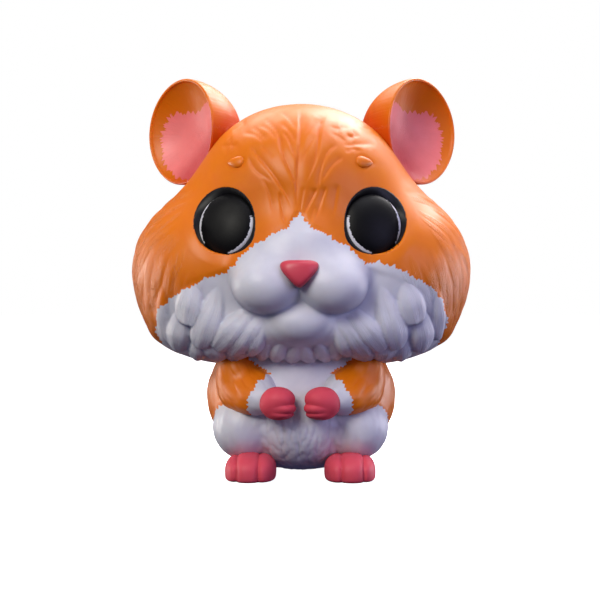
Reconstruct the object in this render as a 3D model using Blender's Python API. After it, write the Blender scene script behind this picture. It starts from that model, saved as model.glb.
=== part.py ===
"""A seated hamster figurine in painted vinyl: a big round head on a small body, paws held together.

Units are metres and +Z is up. The figurine faces -Y, and its own left side is at +X. The origin is
on the floor, below the middle of the figure. Every soft form is a set of ellipsoids that melt into
one another: each is a field that is negative inside, and a piece is a sphere whose vertices are
moved out along rays until they meet the field's surface.
"""

import math
from collections import namedtuple

import bmesh
import bpy
import numpy as np
from mathutils import Euler, Matrix, Vector

# ---------------------------------------------------------------------------------------------
# Driving dimensions
# ---------------------------------------------------------------------------------------------

COLLECTION = "hamster_figurine"
GAP = 0.0003                     # clearance kept between pieces that meet
SIDES = (("left", 1.0), ("right", -1.0))

# An ellipsoid, given on the figure's left side; yaw turns it about Z, in degrees
Blob = namedtuple("Blob", "centre radii yaw", defaults=(0.0,))

CROWN = Blob((0.0, 0.003, 0.0706), (0.0265, 0.0285, 0.0226))
CHEEK = Blob((0.0202, 0.003, 0.0505), (0.0229, 0.027, 0.0219))
JAW = Blob((0.0, 0.002, 0.0376), (0.0360, 0.028, 0.008))
NAPE = Blob((0.0, 0.0099, 0.054), (0.030, 0.0232, 0.024))
SNOUT = Blob((0.0, -0.017, 0.053), (0.015, 0.013, 0.0125))
EYE_DISH = Blob((0.0185, -0.0325, 0.0625), (0.0105, 0.0095, 0.0105))
CHEEK_BLEND = 0.0105
HEAD_BLEND = 0.008
SNOUT_BLEND = 0.007
DISH_BLEND = 0.004

MUZZLE = Blob((0.0078, -0.0250, 0.0464), (0.0080, 0.0076, 0.0068), 12.0)
CHIN = Blob((0.0, -0.0224, 0.0378), (0.0080, 0.0062, 0.0052))
NOSE_CENTRE = (0.0, -0.0303, 0.0494)
NOSE_RADII = (0.0068, 0.0032, 0.0055)
NOSE_TOP = 0.0028                # height of the flat top above the nose's centre
NOSE_TOP_HALF_WIDTH = 0.0052
NOSE_SLOPE = math.radians(38.0)  # lean of the nose's two lower sides
NOSE_ROUNDING = 0.0012

BROW = Blob((0.0150, 0.0, 0.0764), (0.0018, 0.0016, 0.0015))
BROW_TAIL = Blob((0.0176, 0.0, 0.0766), (0.0016, 0.0012, 0.0008))
BROW_BLEND = 0.0015

EYE_X = 0.0180
EYE_Z = 0.0621
EYE_YAW = math.radians(20.0)     # the eyes look outward
EYE_PITCH = math.radians(12.0)   # and a little up
RIM_RADII = (0.0074, 0.0078)     # middle line of the black bezel
RIM_HALF_WIDTH = 0.0007
RIM_HALF_DEPTH = 0.0013
RIM_SET_BACK = 0.0010            # depth of the bezel's middle below the skin
EYE_RADII = (0.0080, 0.0038, 0.0084)
EYE_SHIFT = (0.0003, -0.0002)    # the dome's middle, outward and up from the socket's
EYE_SET_BACK = 0.0010            # depth of the dome's crest below the skin
SOCKET_RADII = (0.0086, 0.0089)
SOCKET_PROUD = 0.0120            # how far the cutter stands out of the head

EAR_CENTRE = (0.0317, 0.0060, 0.0871)
EAR_YAW = math.radians(46.0)     # the cup faces forward and outward
EAR_RADII = (0.0135, 0.0170, 0.0140)
EAR_BOWL_RADII = (0.0119, 0.0088, 0.0124)
EAR_BOWL_RISE = 0.0005           # the bowl's middle stands this far out of the mouth

BARREL = Blob((0.0, 0.002, 0.0184), (0.0240, 0.0190, 0.0190))
CHEST = Blob((0.0, 0.002, 0.0280), (0.0170, 0.0140, 0.0120))
CHEST_BLEND = 0.006
THIGH = Blob((0.0139, -0.0087, 0.0120), (0.0077, 0.0087, 0.0079))
TAIL = Blob((0.0, 0.0160, 0.0031), (0.0029, 0.0056, 0.0034))

UPPER_ARM = Blob((0.0152, -0.0095, 0.0240), (0.0056, 0.0065, 0.0090), 10.0)
FOREARM = Blob((0.0112, -0.0160, 0.0197), (0.0074, 0.0045, 0.0042), 35.0)
ELBOW_BLEND = 0.003
PAW = Blob((0.0053, -0.0210, 0.0191), (0.0043, 0.0040, 0.0038))

FOOT_CENTRE = (0.0124, -0.0140, 0.0026)
TOE_OFFSETS = (-0.0041, 0.0, 0.0041)
TOE_RADII = (0.0028, 0.0080, 0.0045)
TOE_BLEND = 0.001

# Rows of faces along each side of the cube that a piece starts from
HEAD_ROWS = 13
TRUNK_ROWS = 8
FOOT_ROWS = 6
PIECE_ROWS = 5
SMALL_ROWS = 4
TINY_ROWS = 3
SOCKET_SEGMENTS = 24
EAR_SEGMENTS = 22
EAR_RINGS = 11
EYE_SEGMENTS = 20
EYE_RINGS = 10
RIM_SEGMENTS = 20
RIM_SIDES = 6

RAY_REACH = 0.060                # longest ray from a piece's middle to its surface
RAY_STEPS = 240
RAY_HALVINGS = 24
TINY = 1e-9                      # keeps a division safe at an ellipsoid's centre

ORANGE = (0.62, 0.16, 0.02)
WHITE = (0.62, 0.62, 0.68)
PINK = (0.60, 0.06, 0.09)
BLACK = (0.008, 0.008, 0.010)


# ---------------------------------------------------------------------------------------------
# Fields: arrays of points in, signed distances out
# ---------------------------------------------------------------------------------------------

def blob_field(points, blob):
    """Near distance to an ellipsoid."""
    local = points - np.array(blob.centre)
    turn = math.radians(blob.yaw)
    along = local[:, 0] * math.cos(turn) + local[:, 1] * math.sin(turn)
    across = local[:, 1] * math.cos(turn) - local[:, 0] * math.sin(turn)
    local = np.stack((along, across, local[:, 2]), axis=1)
    radii = np.array(blob.radii)
    scaled = np.linalg.norm(local / radii, axis=1)
    slope = np.linalg.norm(local / radii ** 2, axis=1) + TINY
    return scaled * (scaled - 1.0) / slope


def join(first, second, blend):
    """Union of two fields, with the crease between them filled."""
    overlap = np.clip(blend - np.abs(first - second), 0.0, None)
    return np.minimum(first, second) - overlap ** 2 / (4.0 * blend)


def subtract(first, second, blend):
    """The first field less the second, with the edge between them rounded."""
    return -join(-first, second, blend)


def common(first, second, blend):
    """What two fields share, with the edge between them rounded."""
    return -join(-first, -second, blend)


def head_field(points):
    """The head without its muzzle, both halves at once."""
    half = np.stack((np.abs(points[:, 0]), points[:, 1], points[:, 2]), axis=1)
    skull = join(blob_field(half, CROWN), blob_field(half, CHEEK), CHEEK_BLEND)
    skull = join(skull, blob_field(half, JAW), HEAD_BLEND)
    skull = join(skull, blob_field(half, NAPE), HEAD_BLEND)
    skull = join(skull, blob_field(half, SNOUT), SNOUT_BLEND)
    return subtract(skull, blob_field(half, EYE_DISH), DISH_BLEND)


def nose_field(points):
    """A triangle that stands on its point, with rounded corners and a domed front."""
    local = points - np.array(NOSE_CENTRE)
    top = local[:, 2] - NOSE_TOP
    side = (np.abs(local[:, 0]) - NOSE_TOP_HALF_WIDTH) * math.cos(NOSE_SLOPE)
    side = side - (local[:, 2] - NOSE_TOP) * math.sin(NOSE_SLOPE)
    triangle = common(top, side, NOSE_ROUNDING)
    return common(triangle, blob_field(points, Blob(NOSE_CENTRE, NOSE_RADII)), NOSE_ROUNDING)


def trunk_field(points):
    return join(blob_field(points, BARREL), blob_field(points, CHEST), CHEST_BLEND)


def arm_field(points):
    return join(blob_field(points, UPPER_ARM), blob_field(points, FOREARM), ELBOW_BLEND)


def foot_field(points):
    foot = None
    for offset in TOE_OFFSETS:
        centre = (FOOT_CENTRE[0] + offset, FOOT_CENTRE[1], FOOT_CENTRE[2])
        toe = blob_field(points, Blob(centre, TOE_RADII))
        foot = toe if foot is None else join(foot, toe, TOE_BLEND)
    return foot


def last_inside(field, start, directions):
    """Length of each ray, from its start to the outermost place where it leaves the field."""
    steps = np.linspace(0.0, RAY_REACH, RAY_STEPS)
    inside = np.stack([field(start + directions * step) < 0.0 for step in steps])
    last = RAY_STEPS - 1 - np.argmax(inside[::-1], axis=0)
    near = steps[last]
    far = steps[np.minimum(last + 1, RAY_STEPS - 1)]
    for _ in range(RAY_HALVINGS):
        middle = (near + far) / 2.0
        within = field(start + directions * middle[:, None]) < 0.0
        near = np.where(within, middle, near)
        far = np.where(within, far, middle)
    return near


def skin_y(x, z):
    """Where a line along -Y leaves the front of the head."""
    start = np.array([[x, 0.0, z]])
    return -float(last_inside(head_field, start, np.array([[0.0, -1.0, 0.0]]))[0])


# ---------------------------------------------------------------------------------------------
# Objects
# ---------------------------------------------------------------------------------------------

def clear_scene():
    for item in list(bpy.data.objects):
        bpy.data.objects.remove(item, do_unlink=True)


def make_collection(name):
    collection = bpy.data.collections.new(name)
    bpy.context.scene.collection.children.link(collection)
    return collection


def make_material(name, color, roughness):
    material = bpy.data.materials.new(name)
    material.use_nodes = True
    shader = material.node_tree.nodes["Principled BSDF"]
    shader.inputs["Base Color"].default_value = (*color, 1.0)
    shader.inputs["Roughness"].default_value = roughness
    shader.inputs["Metallic"].default_value = 0.0
    return material


def add_object(name, bm, collection, material=None):
    """Turns a bmesh into a smooth object of flat triangles, which cut cleanly."""
    bmesh.ops.triangulate(bm, faces=bm.faces)
    bmesh.ops.recalc_face_normals(bm, faces=bm.faces)
    mesh = bpy.data.meshes.new(name)
    bm.to_mesh(mesh)
    bm.free()
    mesh.shade_smooth()
    item = bpy.data.objects.new(name, mesh)
    collection.objects.link(item)
    if material is not None:
        mesh.materials.append(material)
    return item


def add_cutter(name, bm, cutters):
    item = add_object(name, bm, cutters)
    item.hide_render = True
    item.display_type = "WIRE"
    return item


def cut(item, *tools):
    """Takes each tool's shape out of the object."""
    for tool in tools:
        modifier = item.modifiers.new(tool.name, "BOOLEAN")
        modifier.operation = "DIFFERENCE"
        modifier.solver = "EXACT"
        modifier.object = tool


def soft_form(field, centre, rows, offset=0.0, side=1.0):
    """A ball of quads whose vertices are moved out onto the field's surface.

    The field and its centre are those of the left side, and side -1 mirrors the result.
    """
    bm = bmesh.new()
    bmesh.ops.create_cube(bm, size=2.0)
    bmesh.ops.subdivide_edges(bm, edges=bm.edges, cuts=rows - 1, use_grid_fill=True)
    corners = np.array([tuple(vertex.co) for vertex in bm.verts])
    spread = np.tan(corners * math.pi / 4.0)
    directions = spread / np.linalg.norm(spread, axis=1)[:, None]
    start = np.array([centre])

    def wider(points):
        return field(points) - offset

    lengths = last_inside(wider, start, directions)
    for vertex, place in zip(bm.verts, start + directions * lengths[:, None]):
        vertex.co = (place[0] * side, place[1], place[2])
    return bm


def blob_form(blob, rows, offset=0.0, side=1.0):
    return soft_form(lambda points: blob_field(points, blob), blob.centre, rows, offset, side)


def slice_off(bm, point, outward):
    """Cuts away what lies beyond a plane and closes the cut with a flat face."""
    geometry = list(bm.verts) + list(bm.edges) + list(bm.faces)
    result = bmesh.ops.bisect_plane(
        bm, geom=geometry, plane_co=point, plane_no=outward, clear_outer=True)
    rim = [part for part in result["geom_cut"] if isinstance(part, bmesh.types.BMEdge)]
    bmesh.ops.contextual_create(bm, geom=rim)


def stand_on_floor(bm):
    slice_off(bm, (0.0, 0.0, 0.0), (0.0, 0.0, -1.0))


def ellipsoid(radii, segments, rings):
    bm = bmesh.new()
    bmesh.ops.create_uvsphere(bm, u_segments=segments, v_segments=rings, radius=1.0)
    bmesh.ops.scale(bm, vec=radii, verts=bm.verts)
    return bm


# ---------------------------------------------------------------------------------------------
# The head and its pieces
# ---------------------------------------------------------------------------------------------

def eye_frame(side):
    """Matrix at the skin over an eye, whose own -Y looks out of the socket."""
    turn = Euler((-EYE_PITCH, 0.0, EYE_YAW * side), "XYZ").to_matrix().to_4x4()
    return Matrix.Translation((EYE_X * side, skin_y(EYE_X, EYE_Z), EYE_Z)) @ turn


def add_sockets(cutters):
    """The two round wells that the eyes sit in."""
    depth = EYE_SET_BACK + EYE_RADII[1] + GAP
    sockets = []
    for name, side in SIDES:
        bm = bmesh.new()
        bmesh.ops.create_cone(
            bm, cap_ends=True, segments=SOCKET_SEGMENTS, radius1=1.0, radius2=1.0, depth=1.0)
        bmesh.ops.rotate(bm, verts=bm.verts, matrix=Matrix.Rotation(math.pi / 2.0, 3, "X"))
        bmesh.ops.scale(
            bm, vec=(SOCKET_RADII[0], depth + SOCKET_PROUD, SOCKET_RADII[1]), verts=bm.verts)
        bmesh.ops.translate(bm, vec=(0.0, (depth - SOCKET_PROUD) / 2.0, 0.0), verts=bm.verts)
        bm.transform(eye_frame(side))
        sockets.append(add_cutter("socket_" + name, bm, cutters))
    return sockets


def eye_form(side, grow=0.0):
    """A shallow dome with a flat back, set below the skin."""
    bm = ellipsoid(tuple(radius + grow for radius in EYE_RADII), EYE_SEGMENTS, EYE_RINGS)
    slice_off(bm, (0.0, grow, 0.0), (0.0, 1.0, 0.0))
    place = (EYE_SHIFT[0] * side, EYE_SET_BACK + EYE_RADII[1], EYE_SHIFT[1])
    bmesh.ops.translate(bm, vec=place, verts=bm.verts)
    bm.transform(eye_frame(side))
    return bm


def rim_form(side):
    """A bezel that follows the skin around the edge of a socket."""
    frame = eye_frame(side)
    outward = np.array(frame.to_3x3() @ Vector((0.0, -1.0, 0.0)))[None, :]
    bm = bmesh.new()
    rows = []
    for step in range(RIM_SEGMENTS):
        angle = math.tau * step / RIM_SEGMENTS
        around = Vector((math.cos(angle), 0.0, math.sin(angle)))
        middle = Vector((RIM_RADII[0] * around.x, 0.0, RIM_RADII[1] * around.z))
        deep = frame @ (middle + Vector((0.0, SOCKET_RADII[0], 0.0)))
        rise = float(last_inside(head_field, np.array([tuple(deep)]), outward)[0])
        middle.y = SOCKET_RADII[0] - rise + RIM_SET_BACK
        row = []
        for corner in range(RIM_SIDES):
            turn = math.tau * corner / RIM_SIDES
            place = middle + around * (RIM_HALF_WIDTH * math.cos(turn))
            place.y += RIM_HALF_DEPTH * math.sin(turn)
            row.append(bm.verts.new(frame @ place))
        rows.append(row)
    for step in range(RIM_SEGMENTS):
        here, there = rows[step], rows[(step + 1) % RIM_SEGMENTS]
        for corner in range(RIM_SIDES):
            following = (corner + 1) % RIM_SIDES
            bm.faces.new((here[corner], there[corner], there[following], here[following]))
    return bm


def add_eyes(parts, cutters, black):
    for name, side in SIDES:
        add_object("eye_" + name, eye_form(side), parts, black)
        room = add_cutter("eye_room_" + name, eye_form(side, GAP), cutters)
        cut(add_object("eye_rim_" + name, rim_form(side), parts, black), room)


def ear_form(side):
    """The outer half-shell of an ear, closed across its mouth."""
    bm = ellipsoid(EAR_RADII, EAR_SEGMENTS, EAR_RINGS)
    slice_off(bm, (0.0, 0.0, 0.0), (0.0, -1.0, 0.0))
    return place_ear(bm, side)


def place_ear(bm, side):
    centre = (EAR_CENTRE[0] * side, EAR_CENTRE[1], EAR_CENTRE[2])
    bm.transform(Matrix.Translation(centre) @ Matrix.Rotation(EAR_YAW * side, 4, "Z"))
    return bm


def add_ears(parts, cutters, orange, head_room):
    for name, side in SIDES:
        bowl = ellipsoid(EAR_BOWL_RADII, EAR_SEGMENTS, EAR_RINGS)
        bmesh.ops.translate(bowl, vec=(0.0, -EAR_BOWL_RISE, 0.0), verts=bowl.verts)
        hollow = add_cutter("ear_bowl_" + name, place_ear(bowl, side), cutters)
        cut(add_object("ear_" + name, ear_form(side), parts, orange), head_room, hollow)


def on_skin(blob):
    """The same blob, moved along Y until its centre is on the front of the head."""
    x, _, z = blob.centre
    return blob._replace(centre=(x, skin_y(x, z), z))


def add_brows(parts, orange, head_room):
    round_end = on_skin(BROW)
    tail = on_skin(BROW_TAIL)

    def brow_field(points):
        return join(blob_field(points, round_end), blob_field(points, tail), BROW_BLEND)

    for name, side in SIDES:
        bump = soft_form(brow_field, round_end.centre, TINY_ROWS, side=side)
        cut(add_object("brow_" + name, bump, parts, orange), head_room)


def muzzle_form(side, offset=0.0):
    """One pad of the muzzle, flat where it meets the other."""
    bm = blob_form(MUZZLE, PIECE_ROWS, offset, side)
    slice_off(bm, (side * (GAP / 2.0 - offset), 0.0, 0.0), (-side, 0.0, 0.0))
    return bm


def add_face(parts, cutters, white, pink, head_room):
    nose = add_object("nose", soft_form(nose_field, NOSE_CENTRE, SMALL_ROWS), parts, pink)
    nose_room = add_cutter(
        "nose_room", soft_form(nose_field, NOSE_CENTRE, SMALL_ROWS, GAP), cutters)
    cut(nose, head_room)
    muzzle_rooms = []
    for name, side in SIDES:
        pad = add_object("muzzle_" + name, muzzle_form(side), parts, white)
        cut(pad, head_room, nose_room)
        muzzle_rooms.append(add_cutter("muzzle_room_" + name, muzzle_form(side, GAP), cutters))
    chin = add_object("chin", blob_form(CHIN, SMALL_ROWS), parts, white)
    cut(chin, head_room, *muzzle_rooms)


# ---------------------------------------------------------------------------------------------
# The body and its limbs
# ---------------------------------------------------------------------------------------------

def add_body(parts, cutters, orange, white, pink, head_room):
    trunk_bm = soft_form(trunk_field, BARREL.centre, TRUNK_ROWS)
    stand_on_floor(trunk_bm)
    trunk = add_object("trunk", trunk_bm, parts, orange)
    cut(trunk, head_room)
    trunk_room = add_cutter(
        "trunk_room", soft_form(trunk_field, BARREL.centre, TRUNK_ROWS, GAP), cutters)

    tail_bm = blob_form(TAIL, SMALL_ROWS)
    stand_on_floor(tail_bm)
    cut(add_object("tail", tail_bm, parts, white), trunk_room)

    for name, side in SIDES:
        thigh = add_object("thigh_" + name, blob_form(THIGH, PIECE_ROWS, side=side), parts, white)
        cut(thigh, trunk_room)
        thigh_room = add_cutter(
            "thigh_room_" + name, blob_form(THIGH, PIECE_ROWS, GAP, side), cutters)

        foot = soft_form(foot_field, FOOT_CENTRE, FOOT_ROWS, side=side)
        stand_on_floor(foot)
        cut(add_object("foot_" + name, foot, parts, pink), trunk_room, thigh_room)

        shoulder = UPPER_ARM.centre
        arm = soft_form(arm_field, shoulder, PIECE_ROWS, side=side)
        cut(add_object("arm_" + name, arm, parts, orange), trunk_room, head_room, thigh_room)
        arm_room = add_cutter(
            "arm_room_" + name, soft_form(arm_field, shoulder, PIECE_ROWS, GAP, side), cutters)

        paw = blob_form(PAW, PIECE_ROWS, side=side)
        cut(add_object("paw_" + name, paw, parts, pink), trunk_room, arm_room)


def main():
    clear_scene()
    parts = make_collection(COLLECTION)
    cutters = make_collection("cutters")
    orange = make_material("orange_vinyl", ORANGE, 0.5)
    white = make_material("white_vinyl", WHITE, 0.5)
    pink = make_material("pink_vinyl", PINK, 0.45)
    black = make_material("black_gloss_paint", BLACK, 0.25)

    head = add_object("head", soft_form(head_field, NAPE.centre, HEAD_ROWS), parts, orange)
    cut(head, *add_sockets(cutters))
    head_room = add_cutter(
        "head_room", soft_form(head_field, NAPE.centre, HEAD_ROWS, GAP), cutters)
    add_eyes(parts, cutters, black)
    add_ears(parts, cutters, orange, head_room)
    add_brows(parts, orange, head_room)
    add_face(parts, cutters, white, pink, head_room)
    add_body(parts, cutters, orange, white, pink, head_room)


main()
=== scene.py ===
"""Looks of a seated hamster figurine: carved vinyl, masked paint, glossy eyes and a plain stage.

The forms are ellipsoids that melt into one another, as in the solids that they dress. Each skin is
a ball of quads whose vertices are drawn onto its form, carved with locks of fur along the way that
the coat lies, and given attributes that its paint reads: how far a point is from a paint edge, how
far along that edge, how deep in a crease, which sets the painted shade there, and where it lies on its
lock.
"""

import math
from collections import namedtuple
import bmesh
import bpy
import numpy as np
from bpy.props import FloatProperty, FloatVectorProperty, IntProperty, PointerProperty
from mathutils import Euler, Matrix, Vector


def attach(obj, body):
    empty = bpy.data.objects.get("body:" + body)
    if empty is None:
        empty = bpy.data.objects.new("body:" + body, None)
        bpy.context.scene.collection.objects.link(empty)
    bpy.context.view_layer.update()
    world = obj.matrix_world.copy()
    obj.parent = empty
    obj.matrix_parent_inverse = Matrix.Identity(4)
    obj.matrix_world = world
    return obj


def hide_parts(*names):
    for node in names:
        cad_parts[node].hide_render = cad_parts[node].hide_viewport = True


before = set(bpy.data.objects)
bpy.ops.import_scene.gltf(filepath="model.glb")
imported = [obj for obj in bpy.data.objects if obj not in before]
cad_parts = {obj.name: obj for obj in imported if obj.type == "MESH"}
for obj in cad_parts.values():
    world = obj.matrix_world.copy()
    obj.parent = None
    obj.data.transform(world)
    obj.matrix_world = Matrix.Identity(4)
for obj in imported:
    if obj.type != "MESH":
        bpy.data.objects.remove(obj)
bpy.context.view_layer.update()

bl_info = {
    "name": "Vinyl Hamster Figurine",
    "version": (1, 0, 0),
    "blender": (4, 5, 0),
    "location": "3D View > Sidebar > Figurine",
    "description": "Dresses a seated hamster figurine in carved and painted vinyl",
    "category": "Object",
}

SIDES = (("left", 1.0), ("right", -1.0))
MM = 0.001
VIEW_DISTANCE = 0.305  # of the camera from the figure's axis
VIEW_HEIGHT = 0.0433

# ---- Forms, in metres: the same ellipsoids as the solids, given on the figure's left side ----

# An ellipsoid: yaw is in degrees, and blend says how far it melts into the forms before it
Blob = namedtuple("Blob", "centre radii yaw blend", defaults=(0.0, 0.0))

CROWN = Blob((0.0, 0.003, 0.0706), (0.0265, 0.0285, 0.0226))
CHEEK = Blob((0.0202, 0.003, 0.0505), (0.0229, 0.027, 0.0219), blend=0.0105)
JAW = Blob((0.0, 0.002, 0.0368), (0.0360, 0.028, 0.0096), blend=0.008)
NAPE = Blob((0.0, 0.0099, 0.054), (0.030, 0.0232, 0.024), blend=0.008)
SNOUT = Blob((0.0, -0.017, 0.053), (0.015, 0.013, 0.0125), blend=0.007)
EYE_DISH = Blob((0.0185, -0.0325, 0.0625), (0.0105, 0.0095, 0.0105), blend=0.004)
MUZZLE = Blob((0.0078, -0.0251, 0.0467), (0.0081, 0.0076, 0.0067), 12.0)
CHIN = Blob((0.0, -0.0224, 0.0382), (0.0078, 0.0063, 0.0052), blend=0.0011)
HEAD_MIDDLE = (0.0, -0.005, 0.0520)

NOSE_CENTRE = (0.0, -0.0303, 0.0494)
NOSE_RADII = (0.0064, 0.0031, 0.0053)
NOSE_TOP = 0.0030
NOSE_TOP_HALF_WIDTH = 0.0063
NOSE_SLOPE = math.radians(40.0)
NOSE_TIP_ROUNDING = 0.0010
NOSE_CORNER_ROUNDING = 0.0034
NOSE_EDGE_ROUNDING = 0.0012

BROW_X = 0.0155
BROW_Z = 0.0762
BROW_RADII = (0.0025, 0.0014, 0.0010)  # across, up and out of the skin
BROW_SUNK = 0.0003  # how far its middle lies under the skin
BROW_TAPER = 0.45  # how much its outer end narrows

EYE_X = 0.0180
EYE_Z = 0.0621
EYE_YAW = math.radians(20.0)
EYE_PITCH = math.radians(12.0)
SOCKET_RADII = (0.0073, 0.0080)  # as seen from the front
SOCKET_DEPTH = 0.0042
SOCKET_FULLER = 0.13  # how much fuller its lower inner corner is, as a share
SOCKET_CORNER = math.radians(137.0)
BALL_RADII = (0.0068, 0.0072)
BALL_SHIFT = (-0.0004, -0.0008)
BALL_DOME = 0.0026
BALL_SET_BACK = 0.0012

EAR_CENTRE = (0.0307, 0.0060, 0.0869)
EAR_YAW = math.radians(46.0)
EAR_RADII = (0.0135, 0.0166, 0.0137)
EAR_LIP = 0.0008  # width of the rounded lip
EAR_BOWL_DEPTH = 0.0055
EAR_CURL = 4.0  # how fast its sides come forward, per metre from its middle

BARREL = Blob((0.0, 0.002, 0.0190), (0.0240, 0.0190, 0.0187))
BELLY = Blob((0.0, -0.0072, 0.0126), (0.0130, 0.0113, 0.0104), blend=0.0030)
CHEST = Blob((0.0, 0.002, 0.0280), (0.0170, 0.0140, 0.0120), blend=0.006)
THIGH = Blob((0.0139, -0.0087, 0.0120), (0.0077, 0.0087, 0.0079), blend=0.0022)
TAIL = Blob((0.0, 0.0160, 0.0031), (0.0029, 0.0056, 0.0034), blend=0.0016)
UPPER_ARM = Blob((0.0152, -0.0095, 0.0240), (0.0056, 0.0065, 0.0090), 10.0)
FOREARM = Blob((0.0112, -0.0160, 0.0197), (0.0074, 0.0045, 0.0042), 35.0, blend=0.003)
WRIST = Blob((0.0100, -0.0135, 0.0228), (0.0042, 0.0042, 0.0034), 35.0, blend=0.003)
ELBOW = (0.0140, -0.0120, 0.0215)

PALM = Blob((0.0059, -0.0204, 0.0188), (0.0038, 0.0036, 0.0037), blend=0.0012)
FINGERS = (
    Blob((0.0045, -0.0210, 0.0198), (0.0034, 0.0034, 0.0027), 6.0, 0.0002),
    Blob((0.0038, -0.0213, 0.0177), (0.0029, 0.0030, 0.0017), 6.0, 0.0002),
    Blob((0.0043, -0.0209, 0.0163), (0.0029, 0.0028, 0.0013), 6.0, 0.0002),
)
FOOT = Blob((0.0120, -0.0140, 0.0020), (0.0062, 0.0092, 0.0045))
FOOT_BLUNT = 2.6  # 2 is an ellipsoid; more is squarer
TOE_GROOVES = ((0.0099, 0.0006), (0.0151, 0.0006))  # across, and how deep
TOE_GROOVE_WIDTH = 0.0007
SOLE_ROUNDING = 0.0006  # where a form meets the floor

CAST_REACH = 0.070  # rays start this far from a form's middle and come in
CAST_STEPS = 46
CAST_PACE = 0.85  # share of the field's distance that each step takes
CAST_CLOSE = 2e-7  # a ray that is this close has arrived
PROBE = 0.00012  # spacing of the points that a field's slope is read from
TINY = 1e-9
CREASE_CONTRAST = 7.0  # how soon a hollow counts as a full crease
SINK_PASSES = 12  # how softly the skin sinks back under its locks

# ---- Locks of fur ----

# Length, half width and height in metres; root and tip say how sharply each end closes, rise and
# fall over what share of the length it climbs out of the surface and sinks back in, strands how
# many grooves run along it, bluff how steep its sides are, from 0.6 for soft to 0.2 for square, and
# sink how far the skin lies back under it, as a share of its height
Coat = namedtuple("Coat", "length half_width height root tip rise fall strands bluff sink")

COATS = (
    Coat(0.0105, 0.0024, 0.00045, 0.70, 0.60, 0.45, 0.40, 2.0, 0.50, 0.60),
    Coat(0.0150, 0.0013, 0.00026, 0.70, 0.70, 0.50, 0.45, 1.0, 0.60, 0.60),
    Coat(0.0100, 0.0025, 0.00190, 0.70, 0.36, 0.60, 0.05, 2.6, 0.46, 0.20),
    Coat(0.0056, 0.0009, 0.00034, 0.70, 0.60, 0.45, 0.35, 0.0, 0.50, 0.60),
    Coat(0.0080, 0.0009, 0.00014, 0.70, 0.70, 0.50, 0.50, 0.0, 0.60, 0.60),
    Coat(0.0080, 0.0012, 0.00016, 0.80, 0.80, 0.50, 0.50, 0.0, 0.60, 0.60),
)
BACK_LEAF, CHEEK_STRIP, RUFF_LOBE, BELLY_TUFT, LEG_STRIP, ARM_LEAF = range(6)
STRAND_CUT = 0.10  # depth of a strand's groove, as a share of the lock's height

# The lobes of the white ruff, on the left, as seen from the front: across and up to where each
# grows, across and up to its tip, and its half width, in mm
RUFF_LOBES = (
    (19.0, 46.5, 23.2, 32.0, 3.6),
    (11.0, 41.8, 19.8, 31.9, 3.5),
    (8.8, 39.4, 16.4, 30.6, 3.1),
    (24.8, 47.6, 27.4, 37.6, 3.8),
    (28.2, 41.8, 29.4, 31.4, 3.4),
    (32.6, 47.0, 33.0, 33.6, 2.1),
    (20.9, 35.0, 19.9, 29.4, 3.4),
    (8.6, 36.6, 11.6, 30.6, 2.2),
    (9.6, 33.2, 16.2, 29.4, 2.1),
    (21.4, 32.0, 26.8, 30.2, 2.0),
    (24.2, 34.0, 25.0, 29.4, 2.4),
    (16.4, 33.4, 16.2, 29.0, 2.1),
    (4.0, 33.0, 6.4, 29.2, 2.2),
    (7.6, 32.8, 9.4, 29.2, 1.7),
    (0.2, 32.6, 2.6, 29.0, 2.3),
)

FULL_LOBE = 2.4  # half width in mm under which a lobe is also lower
LOBE_BEND = 0.03  # spread of its bend, as a share of its length

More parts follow.
